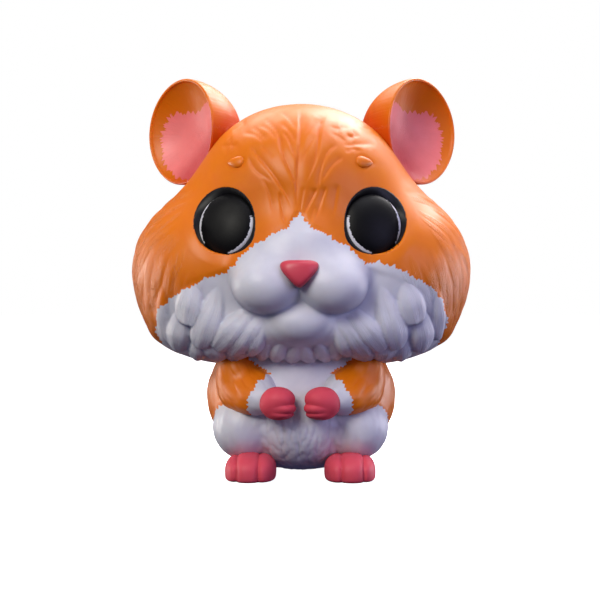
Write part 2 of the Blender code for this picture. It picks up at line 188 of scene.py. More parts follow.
# The creases between the broad leaves of the forehead, as the camera sees them on a plane in front
# of the axis: four places along each, across and up, and its depth, all in mm
FOREHEAD_CREASES = (
    ((0.0, 89.6), (-0.2, 81.4), (-0.7, 73.0), (-0.7, 64.4), 0.60),
    ((-5.2, 88.2), (-3.3, 87.0), (-1.7, 85.2), (-0.4, 83.0), 0.33),
    ((-5.2, 85.8), (-3.0, 84.0), (-1.7, 82.2), (-0.5, 79.6), 0.39),
    ((-4.4, 83.6), (-3.0, 81.9), (-1.9, 79.5), (-0.8, 76.2), 0.45),
    ((-4.4, 83.4), (-4.3, 78.7), (-2.2, 73.7), (-0.7, 68.8), 0.54),
    ((-9.0, 87.0), (-7.0, 85.0), (-5.2, 82.6), (-4.8, 79.0), 0.39),
    ((-10.4, 85.0), (-8.3, 84.3), (-6.7, 83.0), (-5.2, 80.6), 0.33),
    ((-12.0, 84.6), (-10.4, 83.6), (-9.0, 82.4), (-8.0, 80.8), 0.30),
    ((-14.2, 83.0), (-11.8, 82.8), (-9.8, 81.9), (-8.2, 79.2), 0.27),
    ((-12.2, 80.2), (-8.8, 76.0), (-4.6, 70.4), (-1.7, 64.0), 0.51),
    ((-12.5, 78.2), (-11.0, 74.6), (-8.6, 72.6), (-5.8, 71.0), 0.30),
    ((-9.4, 72.4), (-7.9, 70.2), (-6.9, 66.9), (-6.6, 63.0), 0.27),
    ((-5.0, 69.4), (-4.6, 66.6), (-4.0, 63.7), (-3.1, 60.8), 0.36),
    ((-9.8, 79.8), (-8.4, 79.2), (-7.2, 78.1), (-6.3, 76.4), 0.21),
    ((6.4, 87.2), (4.6, 83.4), (4.0, 77.6), (0.4, 69.6), 0.54),
    ((4.8, 86.8), (3.0, 84.6), (1.4, 82.6), (0.2, 79.6), 0.27),
    ((4.2, 83.2), (2.6, 80.6), (1.1, 77.9), (0.2, 74.8), 0.36),
    ((9.4, 80.2), (6.6, 78.2), (5.0, 73.7), (4.3, 67.8), 0.42),
    ((10.6, 77.4), (8.3, 75.8), (6.4, 73.4), (5.0, 70.6), 0.33),
    ((4.2, 70.2), (3.2, 67.8), (1.9, 65.4), (0.9, 62.6), 0.51),
    ((1.1, 70.6), (0.8, 68.2), (0.4, 65.8), (0.2, 64.2), 0.33),
    ((6.6, 70.4), (5.6, 68.0), (4.6, 65.0), (3.3, 61.6), 0.36),
    ((3.9, 66.0), (3.3, 64.4), (2.9, 62.8), (2.6, 61.4), 0.27),
    ((9.3, 71.2), (8.7, 68.4), (8.3, 65.6), (7.8, 62.4), 0.24),
    ((11.0, 83.0), (12.2, 82.3), (13.2, 82.3), (14.4, 82.8), 0.45),
    ((10.0, 79.8), (12.8, 80.2), (15.6, 80.3), (18.2, 80.4), 0.36),
    ((6.8, 84.8), (8.8, 84.2), (10.4, 84.2), (12.4, 84.6), 0.24),
    ((10.8, 78.0), (12.2, 79.0), (13.6, 79.1), (15.2, 78.6), 0.24),
    ((7.4, 81.8), (8.8, 82.6), (10.2, 81.6), (11.2, 81.8), 0.21),
    ((13.0, 86.2), (14.2, 85.0), (15.6, 84.2), (17.0, 83.6), 0.24),
    ((-14.6, 80.6), (-16.0, 80.2), (-17.6, 80.2), (-19.2, 79.6), 0.24),
    ((-12.8, 86.0), (-14.2, 85.2), (-15.4, 84.2), (-16.8, 83.6), 0.24),
)
CREASE_STEEP = 0.30  # mm over which a crease fades on its side away from the middle
CREASE_EASY = 1.35  # and on its side towards the middle
CREASE_STEPS = 18  # straight stretches that a crease is measured along
CREASE_MARGIN = 3.0  # mm beyond a crease's own box that it can still reach
CREASE_PLANE = 0.020  # how far in front of the axis the creases are drawn
CREASE_BACK = 0.008  # how far behind the axis they stop
CREASE_ENDS = (0.20, 0.30)  # shares of its length over which a crease deepens and fades
BROW_CREASE = 0.22  # depth and width in mm of the crease round a brow
BROW_CREASE_WIDTH = 0.30

SPACING_ALONG = 0.42  # closest roots, in lock lengths
SPACING_ACROSS = 1.30  # and in half widths
LEAN = 0.10  # spread of how far a scattered lock leans off its way
BEND = 0.09  # spread of its bend, as a share of its length
LOCK_TRIES = 9000


def ramp(values, low, high):
    """A smooth step that runs from 0 at low to 1 at high, whichever is larger."""
    share = np.clip((values - low) / (high - low), 0.0, 1.0)
    return share * share * (3.0 - 2.0 * share)


# ---- Fields: arrays of points in, near distances out, negative inside ----

def unit(vectors):
    return vectors / (np.linalg.norm(vectors, axis=1)[:, None] + TINY)


def blob_field(points, blob):
    local = points - np.array(blob.centre)
    turn = math.radians(blob.yaw)
    along = local[:, 0] * math.cos(turn) + local[:, 1] * math.sin(turn)
    across = local[:, 1] * math.cos(turn) - local[:, 0] * math.sin(turn)
    local = np.stack((along, across, local[:, 2]), axis=1)
    radii = np.array(blob.radii)
    scaled = np.linalg.norm(local / radii, axis=1)
    slope = np.linalg.norm(local / radii ** 2, axis=1) + TINY
    return scaled * (scaled - 1.0) / slope


def join(first, second, blend):
    overlap = np.clip(blend - np.abs(first - second), 0.0, None)
    return np.minimum(first, second) - overlap ** 2 / (4.0 * blend)


def subtract(first, second, blend):
    return -join(-first, second, blend)


def common(first, second, blend):
    return -join(-first, -second, blend)


def melt(points, first, *others):
    """Forms that melt into one another."""
    field = blob_field(points, first)
    for blob in others:
        field = join(field, blob_field(points, blob), blob.blend)
    return field


def fold(points):
    """Brings both halves of the figure onto its left side."""
    return np.column_stack((np.abs(points[:, 0]), points[:, 1:]))


def skull_field(points):
    """The head without its muzzle, brows and eyes."""
    half = fold(points)
    skull = melt(half, CROWN, CHEEK, JAW, NAPE, SNOUT)
    return subtract(skull, blob_field(half, EYE_DISH), EYE_DISH.blend)


def first_touch(field, start, directions):
    """Points where rays that come in from outside first meet a form."""
    start, directions = np.broadcast_arrays(start, directions)
    lengths = np.full(len(directions), CAST_REACH)
    moving = np.arange(len(directions))
    for _ in range(CAST_STEPS):
        gap = field(start[moving] + directions[moving] * lengths[moving, None])
        lengths[moving] = np.clip(lengths[moving] - gap * CAST_PACE, 0.0, CAST_REACH)
        moving = moving[np.abs(gap) > CAST_CLOSE]
        if not len(moving):
            break
    return start + directions * lengths[:, None]


def slopes(field, points):
    """Outward unit normals of a form."""
    steps = np.eye(3) * PROBE
    rise = np.stack([field(points + step) - field(points - step) for step in steps], axis=1)
    return unit(rise)


def on_skull(x, z):
    """The point on the front of the skull at a given place across and up."""
    return first_touch(skull_field, np.array([[x, 0.0, z]]), np.array([[0.0, -1.0, 0.0]]))[0]


def eye_frame(side):
    """Matrix at the skin over an eye, whose own -Y looks out of the socket."""
    turn = Euler((-EYE_PITCH, 0.0, EYE_YAW * side), "XYZ").to_matrix().to_4x4()
    return Matrix.Translation((EYE_X * side, on_skull(EYE_X, EYE_Z)[1], EYE_Z)) @ turn


def brow_frame():
    """A brow's middle on the skin and, in rows, its directions across, up and out."""
    middle = on_skull(BROW_X, BROW_Z)
    out = slopes(skull_field, middle[None, :])[0]
    middle = middle - out * BROW_SUNK
    across = np.cross((0.0, 0.0, 1.0), out)
    across = across / np.linalg.norm(across)
    return middle, np.stack((across, np.cross(out, across), out))


BROW_MIDDLE, BROW_TURN = brow_frame()


def socket_reach(angle):
    """A socket's radius at an angle round the eye; the lower inner corner is a little fuller."""
    fuller = 1.0 + SOCKET_FULLER * np.clip(np.cos(angle + SOCKET_CORNER), 0.0, 1.0) ** 7
    across, up = SOCKET_RADII
    return fuller / np.hypot(np.cos(angle) / across, np.sin(angle) / up)


def outside_socket(points):
    """How far points are outside the socket's outline, as seen from the front, or far off behind."""
    x, z = np.abs(points[:, 0]) - EYE_X, points[:, 2] - EYE_Z
    gap = np.hypot(x, z) - socket_reach(np.arctan2(z, x))
    return np.where(points[:, 1] < 0.0, gap, 0.030)


def head_field(points):
    """The skull with its muzzle, whose pads melt in softly above and meet it in a crease below."""
    half = fold(points)
    soft = 0.0009 + 0.0035 * ramp(points[:, 2], 0.0450, 0.0520)
    head = join(skull_field(points), blob_field(half, MUZZLE), soft)
    return join(head, blob_field(half, CHIN), CHIN.blend)


def brow_field(points):
    """A low drop, round at its inner end and drawn out at its outer one."""
    share, up, out = ((points - BROW_MIDDLE) @ BROW_TURN.T / BROW_RADII).T
    narrow = 1.0 - BROW_TAPER * np.clip(share, -1.0, 1.2)
    return (np.sqrt(share ** 2 + (up / narrow) ** 2 + out ** 2) - 1.0) * BROW_RADII[2]


def sink_sockets(points):
    """Pushes the skin inside the sockets straight back, under the eyes and their bezels."""
    depth = SOCKET_DEPTH * ramp(-outside_socket(points), 0.0, 0.0005)
    return points + depth[:, None] * np.array((0.0, 1.0, 0.0))


def nose_field(points):
    local = points - np.array(NOSE_CENTRE)
    top = local[:, 2] - NOSE_TOP
    across = np.hypot(local[:, 0], NOSE_TIP_ROUNDING)
    side = (across - NOSE_TOP_HALF_WIDTH) * math.cos(NOSE_SLOPE)
    side = side - top * math.sin(NOSE_SLOPE)
    triangle = common(top, side, NOSE_CORNER_ROUNDING)
    return common(triangle, blob_field(points, Blob(NOSE_CENTRE, NOSE_RADII)), NOSE_EDGE_ROUNDING)


def body_field(points):
    body = melt(fold(points), BARREL, CHEST, BELLY, THIGH, TAIL)
    return common(body, -points[:, 2], SOLE_ROUNDING)


def arm_field(points):
    return melt(points, UPPER_ARM, FOREARM, WRIST)


def paw_field(points):
    return join(blob_field(points, PALM), melt(points, *FINGERS), PALM.blend)


def foot_field(points):
    """A blunt form that stands on the floor, with grooves between its three toes."""
    local = np.abs(points - np.array(FOOT.centre)) / np.array(FOOT.radii)
    foot = ((local ** FOOT_BLUNT).sum(axis=1) ** (1.0 / FOOT_BLUNT) - 1.0) * min(FOOT.radii)
    for across, depth in TOE_GROOVES:
        foot = foot + depth * np.exp(-np.abs(points[:, 0] - across) / TOE_GROOVE_WIDTH)
    return common(foot, -points[:, 2], SOLE_ROUNDING)


# ---- Meshes ----

def quad_ball(rows):
    """A cube of quads whose faces are unfolded in the OFBake map."""
    bm = bmesh.new()
    bm.loops.layers.uv.new("OFBake")
    bmesh.ops.create_cube(bm, size=2.0, calc_uvs=True)
    bmesh.ops.subdivide_edges(bm, edges=bm.edges, cuts=rows - 1, use_grid_fill=True)
    return bm


def corner_array(bm):
    return np.array([vertex.co[:] for vertex in bm.verts])


def place_corners(bm, points):
    for vertex, point in zip(bm.verts, points):
        vertex.co = point


def drawn_form(field, middle, rows, forward=0.0):
    """A ball of quads drawn in onto a form; forward crowds its quads together on the front."""
    bm = quad_ball(rows)
    spread = np.tan(corner_array(bm) * math.pi / 4.0)
    directions = unit(unit(spread) - np.array((0.0, forward, 0.0)))
    points = first_touch(field, np.array([middle]), directions)
    place_corners(bm, points)
    return bm, points


def edge_ends(bm):
    """The vertices at the first and at the second end of every edge."""
    bm.verts.index_update()
    return np.array([(edge.verts[0].index, edge.verts[1].index) for edge in bm.edges]).T


def around(ends, values):
    """The mean of each vertex's neighbours."""
    total, count = np.zeros_like(values), np.zeros(len(values))
    for near, far in (ends, ends[::-1]):
        np.add.at(total, near, values[far])
        np.add.at(count, near, 1.0)
    return (total.T / count).T


def smoothed(ends, values, passes=1):
    """Each value drawn half way to the mean of its neighbours."""
    for _ in range(passes):
        values = 0.5 * values + 0.5 * around(ends, values)
    return values


def crease_depth(bm, points):
    """0 on open surface, towards 1 in a crease: how far a vertex lies below its neighbours."""
    ends = edge_ends(bm)
    bm.normal_update()
    normals = np.array([vertex.normal[:] for vertex in bm.verts])
    lift = np.einsum("ij,ij->i", around(ends, points) - points, normals)
    size = np.linalg.norm(points[ends[0]] - points[ends[1]], axis=1).mean()
    depth = np.clip(lift / size * CREASE_CONTRAST, 0.0, 1.0)
    for _ in range(2):
        depth = np.maximum(depth * 0.6, smoothed(ends, depth))
    return depth


def add_piece(name, bm, values=None, vectors=None):
    """Turns a bmesh into a smooth object at the origin, with its named attributes."""
    bm.normal_update()
    bmesh.ops.recalc_face_normals(bm, faces=bm.faces)
    mesh = bpy.data.meshes.new(name)
    bm.to_mesh(mesh)
    bm.free()
    mesh.shade_smooth()
    for key, array in (values or {}).items():
        mesh.attributes.new(key, "FLOAT", "POINT").data.foreach_set(
            "value", np.asarray(array, dtype=np.float32))
    for key, array in (vectors or {}).items():
        mesh.attributes.new(key, "FLOAT_VECTOR", "POINT").data.foreach_set(
            "vector", np.asarray(array, dtype=np.float32).ravel())
    piece = bpy.data.objects.new(name, mesh)
    bpy.context.scene.collection.objects.link(piece)
    return piece


def mirrored(bm, side):
    """Moves a piece made on the left to its own side."""
    bmesh.ops.scale(bm, vec=(side, 1.0, 1.0), verts=bm.verts)


def finish_piece(piece, slot, material, *nodes):
    """Hangs the piece on the root, hides the parts that it stands for and gives it its material."""
    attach(piece, "root")
    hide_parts(*nodes)
    piece.data.materials.append(material)


# ---- Carving ----

def lying(flow, normals):
    """A flow laid down on the surface."""
    return unit(flow - normals * np.einsum("ij,ij->i", flow, normals)[:, None])


class Lock(namedtuple("Lock", "root along across up coat height bend shift")):
    """One lock: where it grows, its three directions, its kind, and its own bend and height."""


def grown(rng, spot, up, way, coat, height):
    """A lock at one spot that leans a little off the way given, with its own bend."""
    way = way + np.cross(up, way) * rng.normal(0.0, LEAN)
    way = way / np.linalg.norm(way)
    return Lock(spot, way, np.cross(up, way), up, coat, height, rng.normal(0.0, BEND),
                rng.uniform(0.0, 40.0))


def plant(rng, points, normals, flow, pick, locks):
    """Scatters locks over a form so that their roots keep their distance."""
    chosen = rng.permutation(len(points))[:LOCK_TRIES]
    spots, ups = points[chosen], normals[chosen]
    ways = lying(flow(spots), ups)
    kinds, amounts = pick(spots)
    locks = list(locks)
    roots = np.full((len(locks) + len(spots), 3), np.inf)
    for place, lock in enumerate(locks):
        roots[place] = lock.root
    for spot, up, way, kind, amount in zip(spots, ups, ways, kinds, amounts):
        if amount < 0.02 or kind == RUFF_LOBE:
            continue
        size = rng.uniform(0.80, 1.20)
        coat = COATS[kind]
        coat = coat._replace(length=coat.length * size, half_width=coat.half_width * size)
        offset = roots[:len(locks)] - spot
        gap = np.hypot(offset @ way / (coat.length * SPACING_ALONG),
                       offset @ np.cross(up, way) / (coat.half_width * SPACING_ACROSS))
        if len(gap) and gap.min() < 1.0:
            continue
        roots[len(locks)] = spot
        locks.append(grown(rng, spot, up, way, coat, coat.height * amount * rng.uniform(0.75, 1.15)))
    return locks


def carve(points, locks):
    """Height of the tallest lock over each point, and where the point lies on it."""
    height = np.zeros(len(points))
    grain = np.zeros((len(points), 3))
    for lock in locks:
        coat = lock.coat
        offset = points - lock.root
        close = np.flatnonzero(np.abs(offset).max(axis=1) < coat.length)
        offset = offset[close]
        run = offset @ lock.along / coat.length
        inside = (run > 0.0) & (run < 1.0) & (np.abs(offset @ lock.up) < coat.length * 0.5)
        close, offset, run = close[inside], offset[inside], run[inside]
        widest = coat.root / (coat.root + coat.tip)
        full = widest ** coat.root * (1.0 - widest) ** coat.tip
        width = coat.half_width * run ** coat.root * (1.0 - run) ** coat.tip / full
        aside = offset @ lock.across - lock.bend * coat.length * run * run
        share = aside / (width + TINY)
        inside = np.abs(share) < 1.0
        close, run, share, aside = close[inside], run[inside], share[inside], aside[inside]
        dome = (1.0 - share * share) ** coat.bluff
        climb = ramp(run, -0.05, coat.rise) * (1.0 - ramp(run, 1.0 - coat.fall, 1.02))
        strand = 0.5 - 0.5 * np.cos(math.pi * coat.strands * share + lock.shift)
        top = lock.height * dome * climb * (1.0 - STRAND_CUT * strand * (coat.strands > 0.0))
        taller = top > height[close]
        close = close[taller]
        height[close] = top[taller]
        grain[close, 0] = share[taller] * (2.0 + 1.5 * coat.strands) + lock.shift
        grain[close, 1] = run[taller] * coat.length / MM
        grain[close, 2] = (climb * ramp(1.0 - np.abs(share), 0.02, 0.35))[taller] * (coat.strands > 0.0)
    return height, grain


# ---- Paint edges ----

def edge_distance(flat, outline):
    """Distance to a closed outline, negative inside, and the way along it, both in mm."""
    corners = np.array(outline)
    best = np.full(len(flat), np.inf)
    travel = np.zeros(len(flat))
    inside = np.zeros(len(flat), dtype=bool)
    walked = 0.0
    for start, end in zip(corners, np.roll(corners, -1, axis=0)):
        stretch = end - start
        length = np.hypot(*stretch)
        share = np.clip((flat - start) @ stretch / length ** 2, 0.0, 1.0)
        gap = np.hypot(*(flat - start - share[:, None] * stretch).T)
        nearer = gap < best
        best = np.where(nearer, gap, best)
        travel = np.where(nearer, walked + share * length, travel)
        walked += length
        spans = (start[1] > flat[:, 1]) != (end[1] > flat[:, 1])
        crossing = start[0] + (flat[:, 1] - start[1]) / (end[1] - start[1] + TINY) * stretch[0]
        inside ^= spans & (flat[:, 0] < crossing)
    return np.where(inside, -best, best), travel


# Corners of the white zones as seen from the front, across and up in mm, on the left half
FACE_WHITE = (
    (-2.0, 63.8), (0.2, 63.6), (1.3, 61.8), (2.6, 60.2), (5.4, 58.9), (8.6, 56.9), (11.2, 55.6),
    (14.1, 53.0), (16.1, 50.5), (18.7, 49.2), (22.0, 48.3), (26.6, 45.9), (30.6, 43.9), (33.7, 41.0),
    (34.3, 38.2), (36.0, 35.6), (34.8, 32.2), (33.0, 20.0), (-2.0, 20.0))
NECKLINE = ((-2.0, 42.0), (18.0, 42.0), (14.5, 31.0), (10.7, 27.6))
CHEST_WHITE = NECKLINE + (
    (7.0, 25.7), (10.0, 23.4), (13.0, 18.6), (19.2, 17.6), (21.4, 15.4), (22.3, 12.0), (21.6, 8.8),
    (20.5, 3.0), (18.0, -3.0), (-2.0, -3.0))
CUFF_WHITE = NECKLINE + (
    (7.2, 25.8), (9.8, 24.0), (11.2, 22.0), (12.2, 20.0), (12.5, 18.3), (11.8, 15.8), (11.6, 10.0),
    (-2.0, 10.0))
WHITE_STEP = 0.036  # the face's white runs back past the axis above this height
WHITE_BACK = 0.004  # by this much
MASK_LIFT = 0.0028  # how much higher the hand-cut mask sits on the left cheek
RIGHT_RUN = 211.0  # keeps the teeth on the right from repeating those on the left


def front_zone(points, outline, back, lift=0.0):
    """A zone drawn on the front of the figure that stops at a plane across it.

    lift raises its far corners on the left side.
    """
    raised = lift * ramp(points[:, 0], 0.014, 0.019)
    flat = np.stack((np.abs(points[:, 0]), points[:, 2] - raised), axis=1) / MM
    gap, travel = edge_distance(flat, outline)
    behind = (points[:, 1] - back) / MM
    travel = np.where(behind > gap, points[:, 0] / MM, travel)
    return np.maximum(gap, behind), travel + np.where(points[:, 0] > 0.0, RIGHT_RUN, 0.0)


# ---- Materials ----

def colour(text):
    """A hex colour, as an artist picks it, turned into Blender's linear one."""
    shares = [int(text[place:place + 2], 16) / 255.0 for place in (1, 3, 5)]
    return tuple(share / 12.92 if share <= 0.04045 else ((share + 0.055) / 1.055) ** 2.4
                 for share in shares) + (1.0,)


def add(tree, kind, inputs=None, **settings):
    """Adds a node with its settings, sets or links its inputs, and returns its outputs."""
    node = tree.nodes.new("ShaderNode" + kind)
    for key, value in settings.items():
        setattr(node, key, value)
    for key, value in (inputs or {}).items():
        if isinstance(value, bpy.types.NodeSocket):
            tree.links.new(value, node.inputs[key])
        else:
            node.inputs[key].default_value = value
    return node.outputs


def empty_material(name):
    material = bpy.data.materials.new(name)
    material.use_nodes = True
    material.node_tree.nodes.clear()
    return material


def vinyl(tree, base, skin, glow, shine):
    """Ends a paint in cast vinyl, which lets a little light through where glow is over 0."""
    surface = add(tree, "BsdfPrincipled", {
        "Base Color": base, "Roughness": skin.roughness, "Normal": skin.normal,
        "Subsurface Weight": glow, "Subsurface Radius": (1.0, 0.45, 0.30), "Subsurface Scale": 1.6 * MM,
        "Specular IOR Level": shine})[0]
    add(tree, "OutputMaterial", {"Surface": surface}, is_active_output=True)


Skin = namedtuple("Skin", "roughness normal shade")


def satin_skin(tree, rough, strand):
    """A satin skin with its fine pebble and strands, and how much painted shade each place gets.

    The real pebble is finer than the render shows, so it is drawn at 0.45 mm.
    """
    place = add(tree, "TexCoord")["Object"]
    patch = add(tree, "TexNoise", {"Vector": place, "Scale": 1.0 / (5.0 * MM), "Detail": 3.0})[0]
    pebble = add(tree, "TexNoise", {"Vector": place, "Scale": 1.0 / (0.45 * MM), "Detail": 2.0})[0]
    normal = add(tree, "Bump", {"Height": pebble, "Distance": 0.010 * MM, "Strength": 0.8})[0]
    if strand:
        grain = add(tree, "Attribute", attribute_name="grain")["Vector"]
        parts = add(tree, "SeparateXYZ", {"Vector": grain})
        along = add(tree, "Math", {0: parts[1], 1: 0.11}, operation="MULTIPLY")[0]
        stretched = add(tree, "CombineXYZ", {"X": parts[0], "Y": along})[0]
        lines = add(tree, "TexNoise", {"Vector": stretched, "Scale": 1.9, "Detail": 2.5,
                                       "Roughness": 0.6}, noise_dimensions="2D")[0]
        height = add(tree, "Math", {0: lines, 1: parts[2]}, operation="MULTIPLY")[0]
        normal = add(tree, "Bump", {"Height": height, "Distance": strand * MM, "Strength": 1.0,
                                    "Normal": normal})[0]
    roughness = add(tree, "MapRange", {"Value": patch, "From Min": 0.3, "From Max": 0.7,
                                       "To Min": rough - 0.05, "To Max": rough + 0.06})[0]
    # Painted shade: the colour is darkened towards its shade colour in creases and, on the ears, where
    # they go into the head; the noise adds a faint random mottle towards the same colour
    crease = add(tree, "Attribute", attribute_name="cavity")["Fac"]
    mottle = add(tree, "Math", {0: patch, 1: 0.5, 2: -0.20}, operation="MULTIPLY_ADD")[0]
    shade = add(tree, "Math", {0: crease, 1: 0.35, 2: mottle}, operation="MULTIPLY_ADD",
                use_clamp=True)[0]
    return Skin(roughness, normal, shade)


def masked_paint(name, inner, outer, tooth=0.55, pitch=0.8, rough=0.43, strand=0.16, glow=0.12,
                 soft=0.05, shine=0.36):
    """Two sprays that meet in a saw-toothed masked edge, each a base colour and the colour that its
    painted shade darkens it towards.

    tooth is how far the teeth reach and pitch how wide each is, in mm; soft is half the edge's blur.
    """
    material = empty_material(name)
    tree = material.node_tree
    run = add(tree, "Attribute", attribute_name="run")["Fac"]
    edge = add(tree, "Attribute", attribute_name="paint")["Fac"]
    for spacing, reach in ((pitch, 1.3), (pitch * 2.9, 1.1)):
        teeth = add(tree, "TexVoronoi", {"W": run, "Scale": 1.0 / spacing}, voronoi_dimensions="1D")[0]
        edge = add(tree, "Math", {0: teeth, 1: -reach * tooth, 2: edge}, operation="MULTIPLY_ADD")[0]
    drift = add(tree, "TexNoise", {"W": run, "Scale": 0.5 / pitch, "Detail": 3.0},
                noise_dimensions="1D")[0]
    drift = add(tree, "Math", {0: drift, 1: 2.2 * tooth, 2: -0.55 * tooth}, operation="MULTIPLY_ADD")[0]
    edge = add(tree, "Math", {0: edge, 1: drift}, operation="ADD")[0]
    outside = add(tree, "MapRange", {"Value": edge, "From Min": -soft, "From Max": soft})[0]
    skin = satin_skin(tree, rough, strand)
    # Each spray darkened by painted shade in its creases, and by a faint random mottle
    sprays = [add(tree, "Mix", {"Factor": skin.shade, 6: base, 7: shade}, data_type="RGBA")[2]
              for base, shade in (inner, outer)]
    base = add(tree, "Mix", {"Factor": outside, 6: sprays[0], 7: sprays[1]}, data_type="RGBA")[2]
    vinyl(tree, base, skin, glow, shine)
    return material


def plain_paint(name, spray, rough, glow=0.12, shine=0.3):
    """One spray, darkened by painted shade in the creases."""
    material = empty_material(name)
    tree = material.node_tree
    skin = satin_skin(tree, rough, 0.0)
    # The spray darkened by painted shade in its creases, and by a faint random mottle
    base = add(tree, "Mix", {"Factor": skin.shade, 6: spray[0], 7: spray[1]}, data_type="RGBA")[2]
    vinyl(tree, base, skin, glow, shine)
    return material


def sprayed(context, *keys):
    """Each colour asked for, with the colour that painted shade darkens it towards in creases."""
    paint = context.scene.figurine_paint
    return [(tuple(getattr(paint, key)), tuple(getattr(paint, key + "_shade"))) for key in keys]


# Satin sprayed vinyl: broad soft highlights over carved locks, painted shade in the creases between
# them, toothed where orange meets white
def coat_paint(context):
    return masked_paint("Satin Vinyl, Orange Sprayed Over White", *sprayed(context, "white", "orange"))


# ---- Settings ----

def rows(name, description, default):
    return IntProperty(name=name, description=description, default=default, min=8, max=127)


def watts(name, description, default):
    return FloatProperty(name=name, description=description, default=default, min=0.0, unit="POWER")


def swatch(name, description, text):
    """A colour that the user can change."""
    return FloatVectorProperty(name=name, description=description, default=colour(text), size=4,
                               subtype="COLOR", min=0.0, max=1.0)


class FigurinePaint(bpy.types.PropertyGroup):
    """Colours of the sprays, each with the colour that painted shade darkens it towards in creases"""

    # Each shade colour below is painted shade: what its spray is darkened towards in creases and, on
    # the ears, where they go into the head, and faintly in a random mottle. The eyes, bezels and nose
    # get no crease shade, so theirs tints only the mottle
    orange: swatch("Orange", "Spray of the coat, the ears' shells and the brows", "#d66f00")
    orange_shade: swatch("Orange Shade", "Orange in creases", "#c44600")
    white: swatch("White", "Spray of the ruff, cuffs and belly", "#c9c9d4")
    # A violet grey, as the painted shade in the white's creases
    white_shade: swatch("White Shade", "White in creases", "#8484a8")
    pink: swatch("Pink", "Spray of the paws and feet", "#d2485a")
    pink_shade: swatch("Pink Shade", "Pink in creases", "#b42c40")
    ear_pink: swatch("Ear Pink", "Spray in the bowls of the ears", "#f08484")
    # Painted shade where an ear goes into the head
    ear_pink_shade: swatch("Ear Pink Shade", "Ear pink where an ear goes into the head", "#c04a4e")
    nose_pink: swatch("Nose Pink", "Enamel of the nose", "#c64253")
    nose_pink_shade: swatch("Nose Pink Shade", "Nose pink in its faint mottle", "#b42c40")
    black: swatch("Black", "Enamel of the eyes", "#050507")
    black_shade: swatch("Black Shade", "Black of the eyes in its faint mottle", "#050507")
    bezel: swatch("Bezel", "Enamel of the bezels", "#050507")
    bezel_shade: swatch("Bezel Shade", "Bezel black in its faint mottle", "#101018")
    eye_white: swatch("Eye White", "Crescents beside the black of the eyes", "#d8d8e0")
    eye_white_shade: swatch("Eye White Shade", "Crescents in their faint mottle", "#8484a8")
    floor: swatch("Floor", "The card that the figurine stands on", "#f4f4f6")


class FigurineCoat(bpy.types.PropertyGroup):
    """How finely the skins are drawn and how strongly they are carved"""

    head_rows: rows("Head Rows", "Quads along each side of the head's ball", 126)
    body_rows: rows("Body Rows", "Quads along each side of the body's ball", 96)
    limb_rows: rows("Limb Rows", "Quads along each side of a paw's ball", 44)
    relief: FloatProperty(name="Relief", description="How strongly the locks stand out", default=1.0,
                          min=0.0, max=3.0, subtype="FACTOR")
    seed: IntProperty(name="Seed", description="Which scatter of locks is used", default=7, min=0)


class FigurineStage(bpy.types.PropertyGroup):
    """Where the camera stands and how bright the lamps are, with left and right as it sees them"""

    distance: FloatProperty(name="Distance", description="From the camera to the figure's axis",
                            default=VIEW_DISTANCE, unit="LENGTH", subtype="DISTANCE")
    height: FloatProperty(name="Height", description="Of the level camera above the floor",
                          default=VIEW_HEIGHT, unit="LENGTH", subtype="DISTANCE")
    turn: FloatProperty(name="Turn", description="How far the camera stands round to the figure's left",
                        default=math.radians(0.7), unit="ROTATION", subtype="ANGLE")
    lens: FloatProperty(name="Lens", description="Focal length on a 36 mm sensor", default=72.0,
                        unit="CAMERA")
    key: watts("Key", "Power of the warm lamp at the upper left", 2.0)
    fill: watts("Fill", "Power of the cool lamp at the right", 0.85)
    top: watts("Top", "Power of the lamp above and behind the crown", 4.0)
    over: watts("Over", "Power of the cool lamp above the brow", 0.8)
    back: watts("Back", "Power of the lamp above and behind the left ear", 1.0)
    rim: watts("Rim", "Power of each lamp behind the figure", 1.6)
    bounce: watts("Bounce", "Power that the floor in front throws back", 0.1)
    sky: FloatVectorProperty(name="Sky", description="Light from all around", size=3, subtype="COLOR",
                             default=(0.025, 0.023, 0.06), min=0.0, max=1.0)


# ---- Head ----

CHEEK_DROOP = 1.9  # how strongly the coat hangs, against 1 away from the nose
BACK_DROOP = 2.2
HEAD_CROWDING = 0.42  # how much finer the front of the head is drawn than its back


def head_flow(points):
    """The coat lies away from the nose and droops on the cheeks and the back."""
    out = unit(points - np.array(NOSE_CENTRE))
    across = np.abs(points[:, 0])
    droop = CHEEK_DROOP * ramp(across, 0.009, 0.027) * ramp(-points[:, 2], -0.078, -0.056)
    droop = droop + BACK_DROOP * ramp(points[:, 1], 0.002, 0.022)
    return out - droop[:, None] * np.array((0.0, 0.0, 1.0))


def head_smoothness(points):
    """0 where the head is left smooth, at the eyes, brows and muzzle, and 1 in the full coat."""
    half = fold(points)
    amount = ramp(outside_socket(points), 0.0016, 0.0055)
    amount = amount * ramp(blob_field(half, MUZZLE), 0.0002, 0.0022)
    amount = amount * ramp(blob_field(half, CHIN), 0.0002, 0.0018)
    snout = np.maximum(half[:, 0] / 0.012, (half[:, 2] - 0.0500) / 0.0095)
    bridge = (half[:, 2] > 0.0450) & (half[:, 1] < 0.0)
    amount = amount * np.where(bridge, ramp(snout, 0.80, 1.25), 1.0)
    return amount * ramp(brow_field(half), 0.0008, 0.0030)


def head_coat(points):
    """The kind of lock that grows at each place on the head, and how strongly it is carved."""
    x, y, z = fold(points).T
    edge, _ = edge_distance(np.stack((x, z), axis=1) / MM, FACE_WHITE)
    face = (y < 0.008) & (edge < 0.6)
    cheek = (y < 0.010) & (x > 0.020) & (z > 0.040) & (z < 0.070)
    kinds = np.select([face, cheek], [RUFF_LOBE, CHEEK_STRIP], BACK_LEAF)
    return kinds, head_smoothness(points) * np.where(face | cheek, 1.0, ramp(y, -0.004, 0.002))


def coat_values(bm, carved, paint, run):
    # The crease depth sets how much painted shade each vertex gets
    return {"paint": paint, "run": run, "cavity": crease_depth(bm, carved)}


